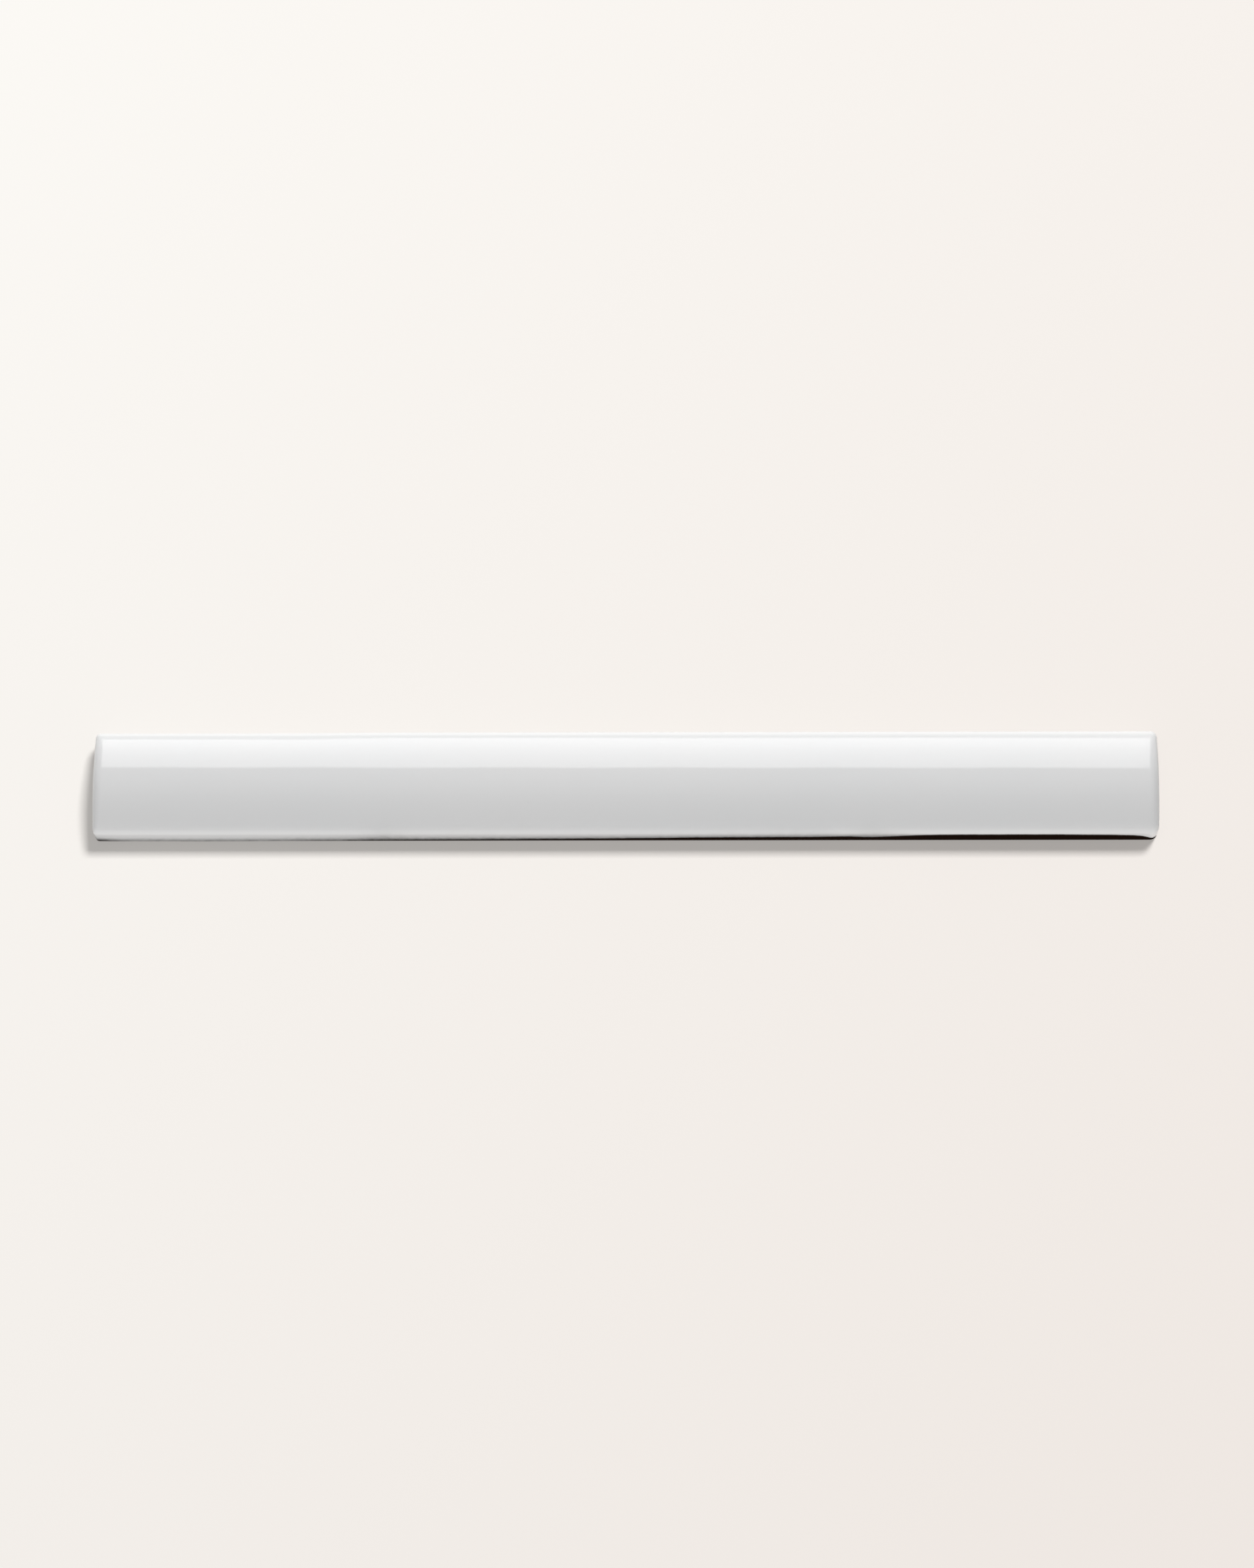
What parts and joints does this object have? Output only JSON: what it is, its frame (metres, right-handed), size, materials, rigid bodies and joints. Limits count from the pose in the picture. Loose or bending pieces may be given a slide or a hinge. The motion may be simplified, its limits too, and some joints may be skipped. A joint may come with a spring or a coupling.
{
  "type": "ceramic bead moulding",
  "caption": "Slim glazed ceramic bead moulding with a low crowned face, rolled shoulders and a flat keyed back, for trimming tiled walls.",
  "frame": {"origin": "centre of the flat back, on the plane that is bedded against the wall", "axes": "+X along the bead, +Y across its face, +Z out of the back through the crown"},
  "size_m": [0.2, 0.02, 0.009],
  "materials": {
    "glazed_ceramic": "gloss white glaze over a fired clay body, bare on the back"
  },
  "bodies": {
    "root": {"bead_moulding": "glazed_ceramic"}
  },
  "joints": []
}
